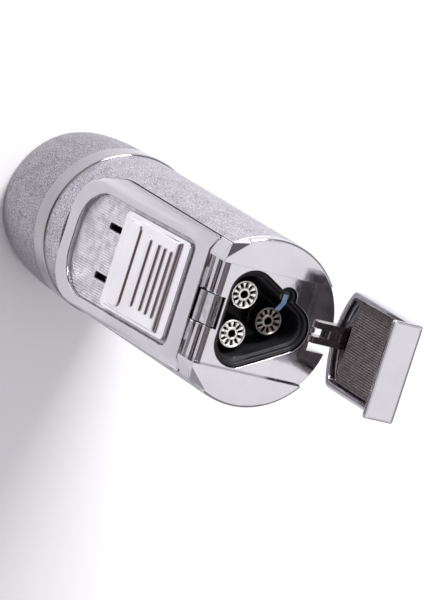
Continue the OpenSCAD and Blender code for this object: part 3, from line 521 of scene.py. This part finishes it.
slide = next(joint for joint in frame["joints"] if joint["name"] == "slide_button")
FACE_UP = -np.array(slide["axis"])
FACE_OUT = np.array([0.0, -FACE_UP[2], FACE_UP[1]])
FACE_ORIGIN = np.array([0.0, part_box("head_block")[0][1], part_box("front_frame")[1][2]]) / MM
STUD_CELL = 0.14
STUD_H = 0.09
TRACK_FOOT_R = 6.75
TRACK_TOP_R = 1.45
LEG_SLOT_X = 4.2
LEG_SLOT_W = 1.24
LEG_SLOT_V = (-30.98, -17.68)


def on_face(x, v, n):
    """Points on the slanted front face: x across, v up the face, n out of it, all in mm."""
    x, v, n = np.broadcast_arrays(x, v, n)
    flat = np.stack([x, 0 * x, 0 * x], -1)
    return FACE_ORIGIN + flat + v[..., None] * FACE_UP + n[..., None] * FACE_OUT


def face_extent(name):
    """Lowest and highest x, v and n of a CAD node on the front face."""
    corners = np.array([v.co for v in frame["nodes"][name].data.vertices]) / MM - FACE_ORIGIN
    local = np.column_stack([corners[:, 0], corners @ FACE_UP, corners @ FACE_OUT])
    return local.min(0), local.max(0)


def cut_sheet(name, corners, keep):
    """A closed sheet from two layers of grid corners, upper and lower, and a mask of the cells kept:
    each kept cell has an upper and a lower face, and a wall where the cell beside it is cut away."""
    rows, columns = corners.shape[1:3]
    index = np.arange(rows * columns).reshape(rows, columns)
    under = index + rows * columns
    r, c = np.nonzero(keep)
    tops = np.stack([index[r, c], index[r, c + 1], index[r + 1, c + 1], index[r + 1, c]], -1)
    quads = [tops, (tops + rows * columns)[:, ::-1]]
    padded = np.pad(keep, 1)
    for (dr, dc), (first, second) in (
        ((-1, 0), ((0, 0), (0, 1))), ((1, 0), ((1, 1), (1, 0))),
        ((0, -1), ((1, 0), (0, 0))), ((0, 1), ((0, 1), (1, 1))),
    ):
        open_side = keep & ~padded[1 + dr:1 + dr + rows - 1, 1 + dc:1 + dc + columns - 1]
        r, c = np.nonzero(open_side)
        a, b = (r + first[0], c + first[1]), (r + second[0], c + second[1])
        quads.append(np.stack([index[b], index[a], under[a], under[b]], -1))
    quads = np.concatenate(quads)
    used, faces = np.unique(quads, return_inverse=True)
    faces = faces.reshape(-1, 4)
    return built(name, corners.reshape(-1, 3)[used], faces.tolist(), faces)


def studs(across, along, cell):
    """1 on the flat of a stud and 0 in the grooves round it, which lie three cells apart."""
    column = np.rint(across / cell).astype(int) % 3 > 0
    row = np.rint(along / cell).astype(int) % 3 > 0
    return (column & row).astype(float)


def track_sheet():
    """The studded plate: a grid of square cells pulled in to the recess's outline, whose foot is
    two quarter circles and whose top corners are small ones, less the two leg slots."""
    low, high = face_extent("track_plate")
    half, foot, top = high[0], low[1], high[1]
    x = np.arange(-math.ceil(half / STUD_CELL), math.ceil(half / STUD_CELL) + 1) * STUD_CELL
    v = foot + np.arange(0, math.ceil((top - foot) / STUD_CELL) + 1) * STUD_CELL
    x_grid, v_grid = np.meshgrid(x, np.minimum(v, top))
    rise = np.where(v_grid < foot + TRACK_FOOT_R, foot + TRACK_FOOT_R - v_grid, 0)
    reach = half - TRACK_FOOT_R + np.sqrt(np.clip(TRACK_FOOT_R ** 2 - rise ** 2, 0, None))
    rise = np.where(v_grid > top - TRACK_TOP_R, v_grid - top + TRACK_TOP_R, 0)
    reach_top = half - TRACK_TOP_R + np.sqrt(np.clip(TRACK_TOP_R ** 2 - rise ** 2, 0, None))
    reach = np.minimum(reach, reach_top)
    beyond = np.abs(x_grid) >= reach
    keep = ~(beyond[:-1, :-1] & beyond[:-1, 1:] & beyond[1:, :-1] & beyond[1:, 1:])
    x_grid = np.clip(x_grid, -reach, reach)
    height = STUD_H * studs(x_grid, v_grid - foot, STUD_CELL)
    middle_x = (x_grid[:-1, :-1] + x_grid[1:, 1:]) / 2
    middle_v = (v_grid[:-1, :-1] + v_grid[1:, 1:]) / 2
    in_slot = np.abs(np.abs(middle_x) - LEG_SLOT_X) < LEG_SLOT_W / 2
    in_slot &= (middle_v > LEG_SLOT_V[0]) & (middle_v < LEG_SLOT_V[1])
    keep &= ~in_slot
    upper = on_face(x_grid, v_grid, high[2] - STUD_H + height)
    lower = on_face(x_grid, v_grid, low[2])
    return cut_sheet("track_sheet", np.stack([upper, lower]), keep)


track = track_sheet()
track.data.shade_flat()
fitted(track, patterned_steel, "case", "patterned_steel", "track_plate")

# ---- slide button -----------------------------------------------------------
# A die-cast and polished thumb slide with a broad push bar at its foot and four
# ribs across its crown, rolled over at its upper end.

SLIDE_MARGIN = 0.55
SLIDE_CORNER_R = 1.2
SLIDE_EDGE_R = 0.25
SLIDE_SIDE_N = -0.35
SLIDE_PLATE_N = -0.1
SLIDE_PLATE_T = 0.64
SLIDE_FOOT_R = 0.08
SLIDE_CORNER_ROWS = 9
SLIDE_ROWS = 190
SLIDE_COLUMNS = 131
SLIDE_CROWDING = 1.3
CROWN_RAMPS = ((0.4, 0.6, 3.2), (-0.3, 5.0, 8.6), (0.5, 8.0, 17.0))
CROWN_SIDE_R = 0.55
CROWN_FOOT = 0.5
CROWN_FOOT_R = 0.4
CROWN_HEAD = 2.3
CROWN_HEAD_R = 1.35
CROWN_END = 3.0
BAR_V = (2.8, 6.5)
BAR_HALF_W = 7.1
BAR_CORNER_R = 1.2
BAR_EDGE_R = 0.4
BAR_CREST = 0.9
BAR_FALL = 0.3
RIB_SHARES = (0.26, 0.52, 0.71, 0.9)
RIB_RADII = (0.62, 0.45, 0.45, 0.45)
RIB_REACH = 5.3
RIB_RISE = 0.4
PAN_DEPTH = 0.16
PAN_FOOT = (11.3, 11.9)
PAN_HEAD = (17.0, 17.4)
PAN_SIDE = (RIB_REACH, RIB_REACH + 0.6)
LEG_HALF_W = 0.5
LEG_HALF_LEN = 3.6
LEG_PLAY = 0.4
LEG_POINTS = 32
LEG_SQUARENESS = 0.25


def rolled(distance, radius):
    """0 at an edge rising to 1 over a radius, along a quarter circle."""
    return np.sqrt(1 - (1 - np.clip(distance / radius, 0, 1)) ** 2)


def thumb_height(x, v, half, length):
    """Height of the button over the face at x and v. A low plate carries a crown that slopes up
    from the foot, dips behind the bar, swells to the ribs and rolls over at its upper end; the bar
    and the ribs are raised on it by their distance from a rounded rectangle and from a line."""
    crown = sum(rise * smoothstep(start, end, v) for rise, start, end in CROWN_RAMPS)
    hold = rolled(half - SLIDE_MARGIN - np.abs(x), CROWN_SIDE_R) * rolled(v - CROWN_FOOT, CROWN_FOOT_R)
    hold = hold * rolled(length - CROWN_HEAD - v, CROWN_HEAD_R)
    height = SLIDE_PLATE_N + (crown - SLIDE_PLATE_N) * hold
    middle, reach = sum(BAR_V) / 2, (BAR_V[1] - BAR_V[0]) / 2
    out_x = np.maximum(np.abs(x) - BAR_HALF_W + BAR_CORNER_R, 0)
    out_v = np.maximum(np.abs(v - middle) - reach + BAR_CORNER_R, 0)
    in_bar = BAR_CORNER_R - np.hypot(out_x, out_v)
    crest = BAR_CREST - BAR_FALL * (v - BAR_V[0]) / (BAR_V[1] - BAR_V[0])
    height = height + (crest - crown) * rolled(in_bar, BAR_EDGE_R) * (in_bar > 0)
    pan = smoothstep(*PAN_FOOT, v) * (1 - smoothstep(*PAN_HEAD, v))
    height = height - PAN_DEPTH * pan * (1 - smoothstep(*PAN_SIDE, np.abs(x)))
    for share, radius in zip(RIB_SHARES, RIB_RADII):
        row = BAR_V[1] + share * (length - CROWN_END - BAR_V[1])
        away = np.hypot(np.maximum(np.abs(x) - RIB_REACH, 0), v - row) / radius
        height = height + RIB_RISE * np.sqrt(np.clip(1 - away ** 2, 0, 1))
    edge = np.minimum(half - np.abs(x), np.minimum(v, length - v))
    return SLIDE_SIDE_N + (height - SLIDE_SIDE_N) * rolled(edge, SLIDE_EDGE_R)


def thumb_slide():
    """The button's skin: the thumb height over a grid that narrows at the rounded corners, its
    border carried down the sides to a flat underside."""
    low, high = face_extent("slider_button")
    half, length = high[0], high[1] - low[1]
    under = SLIDE_PLATE_N - SLIDE_PLATE_T
    turn = np.sin(np.linspace(0, math.pi / 2, SLIDE_CORNER_ROWS))
    corner = SLIDE_CORNER_R * (1 - turn)[::-1]
    v = np.concatenate([corner[:-1], np.linspace(corner[-1], length - corner[-1], SLIDE_ROWS),
                        (length - corner[::-1])[1:]])
    share = np.sin(np.linspace(-1, 1, SLIDE_COLUMNS) * SLIDE_CROWDING) / math.sin(SLIDE_CROWDING)
    into = np.maximum(SLIDE_CORNER_R - np.minimum(v, length - v), 0)
    reach = half - SLIDE_CORNER_R + np.sqrt(np.clip(SLIDE_CORNER_R ** 2 - into ** 2, 0, None))
    x_grid, v_grid = share[None, :] * reach[:, None], np.repeat(v[:, None], len(share), 1)
    n_grid = thumb_height(share[None, :] * half, v_grid, half, length)
    top = on_face(x_grid, v_grid + low[1], n_grid)
    rows, columns = x_grid.shape
    index = np.arange(rows * columns).reshape(rows, columns)
    rim = np.concatenate([index[0, :-1], index[:-1, -1], index[-1, :0:-1], index[:0:-1, 0]])
    x_rim, v_rim = x_grid.ravel()[rim], v_grid.ravel()[rim]
    skirt = on_face(x_rim, v_rim + low[1], np.full(len(rim), under + SLIDE_FOOT_R))
    inset_x = x_rim * (1 - SLIDE_FOOT_R / half)
    inset_v = (v_rim - length / 2) * (1 - 2 * SLIDE_FOOT_R / length) + length / 2 + low[1]
    inset = on_face(inset_x, inset_v, np.full(len(rim), under))
    corners = np.concatenate([top.reshape(-1, 3), skirt, inset])
    loops = [rim] + [rows * columns + k * len(rim) + np.arange(len(rim)) for k in range(2)]
    skin = np.stack([index[:-1, :-1], index[:-1, 1:], index[1:, 1:], index[1:, :-1]], -1)
    quads = [skin.reshape(-1, 4)]
    for upper, lower in zip(loops, loops[1:]):
        quads.append(np.stack([upper, lower, np.roll(lower, -1), np.roll(upper, -1)], -1))
    quads = np.concatenate(quads)
    faces = quads.tolist() + [loops[-1][::-1].tolist()]
    return built("thumb_slide", corners, faces, quads)


def slide_leg(side):
    """One leg of the button: a rounded rectangle, whose sides are cosine and sine raised to a small
    power with their sign kept, carried straight in from the underside."""
    turn = np.linspace(0, 2 * math.pi, LEG_POINTS, endpoint=False)
    wide = LEG_HALF_W * np.sign(np.cos(turn)) * np.abs(np.cos(turn)) ** LEG_SQUARENESS
    long = LEG_HALF_LEN * np.sign(np.sin(turn)) * np.abs(np.sin(turn)) ** LEG_SQUARENESS
    foot = face_extent("slider_button")[0][2]
    stations = [(0.8, foot), (0.97, foot + 0.05), (1.0, foot + 0.3), (1.0, SLIDE_PLATE_N - 0.5)]
    middle = LEG_SLOT_V[1] - LEG_HALF_LEN - LEG_PLAY
    rings = [on_face(side * LEG_SLOT_X + share * wide, middle + share * long, np.full(LEG_POINTS, n))
             for share, n in stations]
    return grid_skin("slide_leg_" + ("left" if side < 0 else "right"), np.array(rings))


def polished_nickel(name, low, high):
    """Polished nickel plate: near a mirror, with a faint orange peel, smears and hairline scratches."""
    finish, tree, shader, place = new_finish(name, metallic=1.0)
    haze = cloud(tree, place, per_mm=0.12, detail=4)
    peel = cloud(tree, place, per_mm=1.2, detail=2)
    hair = cloud(tree, place, per_mm=7.0, detail=2, stretch=(8, 1, 1))
    ground = shades(tree, haze, (0.3, low), (0.7, high))
    worn = blended(tree, edge_wear(tree, radius_mm=0.15), ground, (0.86, 0.84, 0.86))
    tree.links.new(worn, shader.inputs["Base Color"])
    tree.links.new(spread_over(tree, hair, low=0.05, high=0.13), shader.inputs["Roughness"])
    relief(tree, shader, peel, depth_mm=0.004, edge_mm=0.12)
    return finish


slide_nickel = polished_nickel("slide nickel", (0.72, 0.7, 0.73), (0.8, 0.78, 0.81))
fitted(thumb_slide(), slide_nickel, "slider", "polished_nickel", "slider_button")
for side in (-1, 1):
    leg = slide_leg(side)
    leg.data.materials.append(slide_nickel)
    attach(leg, "slider")

# ---- front frame ------------------------------------------------------------
# The polished casting that fills the shell's front cut-out, with flanks drawn
# in to a flat face and the slide's recess sunk into it.

# The frame, head and lid take a copy of the slide's nickel dimmed to about two thirds: the lower tint is
# painted shade.
polished = polished_nickel("polished nickel", (0.5, 0.485, 0.51), (0.56, 0.545, 0.575))
soften("front_frame", polished, edge_mm=0.35, steps=4)

# ---- band and shell ---------------------------------------------------------
# A polished band over the joint of base and shell, and the drawn tube in the
# same stonewashed gunmetal as the base.

# The band takes a still darker copy of the nickel: painted shade.
soften("band_ring", polished_nickel("band nickel", (0.34, 0.325, 0.345), (0.4, 0.385, 0.405)))
soften("outer_shell", stonewashed_gunmetal("shell gunmetal"), edge_mm=0.12)

# ---- head -------------------------------------------------------------------
# The polished nickel head, screwed to the chassis: a rim over the shell, the
# channel that the lid shuts into, the front notch and the hinge's slot.

soften("head_block", polished)
soften("latch_tab", plain_steel, edge_mm=0.08)
soften("hinge_pin", plain_steel, edge_mm=0.05)
soften("lid_spring", spring_wire)

# ---- lid --------------------------------------------------------------------
# The sprung lid: a dark nickel arm of two rails, the polished cap with its front
# lip, and the panel of fine square mesh in its underside.

dark_nickel = turned_steel("dark nickel", tint=(0.3, 0.27, 0.27), roughness=0.2)
soften("lid_arm", dark_nickel, edge_mm=0.1)

LID_BACK_R = 13.6
LID_RIM = 1.0
LID_RECESS = 1.4
LID_PLATE = 2.2
LIP_T = 0.8
LID_CORNER = 36
LID_POINTS = 360
LIP_POINTS = 240
LIP_PROFILE = (
    (0.55, 0.0), (0.38, 0.0), (0.3, 0.035), (0.22, 0.04), (0.12, 0.06), (0.04, 0.12),
    (0.0, 0.24), (0.0, LIP_T - 0.2), (0.05, LIP_T - 0.06), (0.2, LIP_T),
)

hinge = next(joint for joint in frame["joints"] if joint["name"] == "lid_hinge")
HINGE_Y, HINGE_Z = (c / MM for c in hinge["pos_m"][1:])


def stood_open(shut):
    """Points drawn with the lid shut, turned a quarter about the hinge to where they stand open."""
    x, y, z = np.moveaxis(shut, -1, 0)
    return np.stack([x, HINGE_Y + z - HINGE_Z, HINGE_Z + HINGE_Y - y], -1)


def lid_loop(margin, height, half_w, front_y):
    """The lid's outline drawn in by a margin. Along each ray from the axis it is the softened least
    of the ways to the two sides, the front and the round back, which rounds its corners."""
    angle = np.linspace(0, 2 * math.pi, LID_POINTS, endpoint=False)
    c, s = np.cos(angle), np.sin(angle)
    sides = np.abs(c) / (half_w - margin)
    front = np.clip(-s, 0, None) / (front_y - LIP_T / 2 - margin)
    back = np.full(LID_POINTS, 1 / (LID_BACK_R - margin))
    reach = (sides ** LID_CORNER + front ** LID_CORNER + back ** LID_CORNER) ** (-1 / LID_CORNER)
    return np.column_stack([reach * c, reach * s, np.full(LID_POINTS, height)])


def lid_cap():
    """The lid's plate as outlines stacked along its section: the recess's floor, its wall, the rim,
    the rounded lower edge, the side and the rounded upper edge."""
    high = np.array(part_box("lid_shell")[1]) / MM
    half_w, front_y = high[0], high[2] - HINGE_Z - HINGE_Y
    top = high[1] - HINGE_Y + HINGE_Z
    under = top - LID_PLATE
    floor = under + LID_RECESS
    section = [
        (LID_RIM + 0.5, floor), (LID_RIM + 0.12, floor), (LID_RIM + 0.03, floor - 0.08),
        (LID_RIM, floor - 0.2), (LID_RIM, under + 0.16), (LID_RIM - 0.05, under + 0.05),
        (LID_RIM - 0.16, under), (0.2, under), (0.06, under + 0.06), (0.0, under + 0.2),
        (0.0, top - 0.34), (0.05, top - 0.17), (0.15, top - 0.06), (0.34, top), (0.8, top),
    ]
    rings = np.array([lid_loop(m, z, half_w, front_y) for m, z in section])
    return grid_skin("lid_cap", stood_open(rings))


def lid_lip():
    """The front lip: a rounded rectangle, seen from the front, swept through its thickness with its
    edges rolled over a quarter circle, and a shallow step left by polishing round its face."""
    low, high = (np.array(corner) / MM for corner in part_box("lid_shell"))
    half_w, front_y = high[0], HINGE_Z + HINGE_Y - high[2]
    top = high[1] - HINGE_Y + HINGE_Z
    foot = low[1] - HINGE_Y + HINGE_Z
    middle, half_h = (top + foot) / 2, (top - foot) / 2
    angle = np.linspace(0, 2 * math.pi, LIP_POINTS, endpoint=False)
    c, s = np.cos(angle), np.sin(angle)
    rings = []
    for margin, shade_factor in LIP_PROFILE:
        sides = np.abs(c) / (half_w - margin)
        ends = np.abs(s) / (half_h - margin)
        reach = (sides ** LID_CORNER + ends ** LID_CORNER) ** (-1 / LID_CORNER)
        face = np.full(LIP_POINTS, front_y + shade_factor)
        rings.append(np.column_stack([reach * c, face, middle + reach * s]))
    return grid_skin("lid_lip", stood_open(np.array(rings)))


fitted(lid_cap(), polished, "lid", "polished_nickel", "lid_shell")
lip = lid_lip()
lip.data.materials.append(polished)
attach(lip, "lid")

MESH_CELL = 0.14
MESH_SINK = 0.16


def lid_grille():
    """The panel in the lid's underside: a grid of cells, raised on its wires and sunk between them,
    filling the node's rectangle."""
    low, high = (np.array(corner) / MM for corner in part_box("lid_mesh"))
    reach, rows = (math.ceil(span / MESH_CELL) for span in (high[0], high[2] - low[2]))
    x = np.arange(-reach, reach + 1) * MESH_CELL
    z = low[2] + np.arange(0, rows + 1) * MESH_CELL
    x_grid, z_grid = np.meshgrid(np.clip(x, low[0], high[0]), np.minimum(z, high[2]))
    sunk = MESH_SINK * studs(x_grid, z_grid - low[2], MESH_CELL)
    front = np.stack([x_grid, low[1] + sunk, z_grid], -1)
    back = np.stack([x_grid, np.full_like(x_grid, high[1]), z_grid], -1)
    keep = np.ones((len(z) - 1, len(x) - 1), bool)
    return cut_sheet("lid_grille", np.stack([front, back]), keep)


grille = lid_grille()
grille.data.shade_flat()
# The grille takes a darkened copy of the track plate's patterned steel: painted shade in the lid's
# underside.
shaded_mesh_steel = turned_steel("mesh steel", tint=(0.36, 0.33, 0.33), roughness=0.3)
fitted(grille, shaded_mesh_steel, "lid", "patterned_steel", "lid_mesh")

# ---- table, light and camera ------------------------------------------------
# The lighter stands on a pale table in a pale room, with a soft light low on its
# left and a weaker one high behind it.

TABLE_SIZE = 4.0
TABLE_TINT = (0.93, 0.93, 0.95)
SKY_STOPS = (
    (0.5, (0.28, 0.27, 0.3)), (0.58, (0.19, 0.18, 0.2)), (0.68, (0.26, 0.24, 0.27)),
    (0.82, (0.56, 0.54, 0.58)), (1.0, (1.0, 0.97, 1.0)),
)
PATCH_WAY = (0.05, -0.78, 0.62)
PATCH_TINT = (0.12, 0.08, 0.075)
LENS_MM = 300
SENSOR_MM = 36
EYE_MM = (-115.9, -380.2, 757.9)


def table_top():
    """A square sheet at the height of the lighter's foot."""
    half = TABLE_SIZE / 2
    mesh = bpy.data.meshes.new("table")
    corners = [(-half, -half, 0), (half, -half, 0), (half, half, 0), (-half, half, 0)]
    mesh.from_pydata(corners, [], [(0, 1, 2, 3)])
    top = bpy.data.objects.new("table", mesh)
    bpy.context.scene.collection.objects.link(top)
    finish, tree, shader, place = new_finish("table paper")
    tooth = cloud(tree, place, per_mm=0.05, detail=3)
    white = shades(tree, tooth, (0.3, TABLE_TINT), (0.7, tuple(min(1, c * 1.02) for c in TABLE_TINT)))
    tree.links.new(white, shader.inputs["Base Color"])
    tree.links.new(spread_over(tree, tooth, low=0.5, high=0.6), shader.inputs["Roughness"])
    mesh.materials.append(finish)


def soft_box(name, at, aim, width, shade_factor, watts):
    """A rectangular area light at a point, turned to face another point."""
    lamp = bpy.data.lights.new(name, "AREA")
    lamp.shape = "RECTANGLE"
    lamp.size = width
    lamp.size_y = shade_factor
    lamp.energy = watts
    holder = bpy.data.objects.new(name, lamp)
    holder.location = at
    holder.rotation_mode = "QUATERNION"
    holder.rotation_quaternion = (Vector(aim) - Vector(at)).to_track_quat("-Z", "Y")
    bpy.context.scene.collection.objects.link(holder)


def room():
    """A pale room, brightest overhead, with a warm dark patch in front where nothing is lit."""
    world = bpy.data.worlds.new("room")
    bpy.context.scene.world = world
    world.use_nodes = True
    tree = world.node_tree
    way = tree.nodes.new("ShaderNodeTexCoord").outputs["Generated"]
    parts = tree.nodes.new("ShaderNodeSeparateXYZ")
    tree.links.new(way, parts.inputs["Vector"])
    height = spread_over(tree, parts.outputs["Z"], low=0.0, high=1.0, start=-1.0, end=1.0)
    sky = shades(tree, height, *SKY_STOPS)
    toward = tree.nodes.new("ShaderNodeVectorMath")
    toward.operation = "DOT_PRODUCT"
    toward.inputs[1].default_value = Vector(PATCH_WAY).normalized()
    tree.links.new(way, toward.inputs[0])
    patch = spread_over(tree, toward.outputs["Value"], low=0.0, high=1.0, start=0.85, end=0.97)
    tint = blended(tree, patch, sky, PATCH_TINT)
    tree.links.new(tint, tree.nodes["Background"].inputs["Color"])
    tree.nodes["Background"].inputs["Strength"].default_value = 1.0


def portrait_camera():
    """A long lens high over the lighter's front left, rolled so that the body lies across the view."""
    eye = Vector(EYE_MM) * MM
    across = Vector((-0.30069, 0.85820, 0.41603))
    down = Vector((0.94264, 0.20111, 0.26644))
    into = Vector((0.14499, 0.47228, -0.86944))
    lens = bpy.data.cameras.new("camera")
    lens.lens = LENS_MM
    lens.sensor_width = SENSOR_MM
    lens.clip_start = 0.01
    lens.clip_end = 10
    holder = bpy.data.objects.new("camera", lens)
    turn = Matrix((across, -down, -into)).transposed().to_4x4()
    holder.matrix_world = Matrix.Translation(eye) @ turn
    bpy.context.scene.collection.objects.link(holder)
    bpy.context.scene.camera = holder


table_top()
soft_box("key light", at=(-0.52, 0.02, 0.36), aim=(0, 0, 0.03), width=0.24, shade_factor=0.24, watts=4.6)
soft_box("top light", at=(0.12, 0.4, 0.75), aim=(0, 0, 0.04), width=0.55, shade_factor=0.45, watts=0.4)
room()
portrait_camera()
bpy.context.scene.view_settings.view_transform = "Standard"
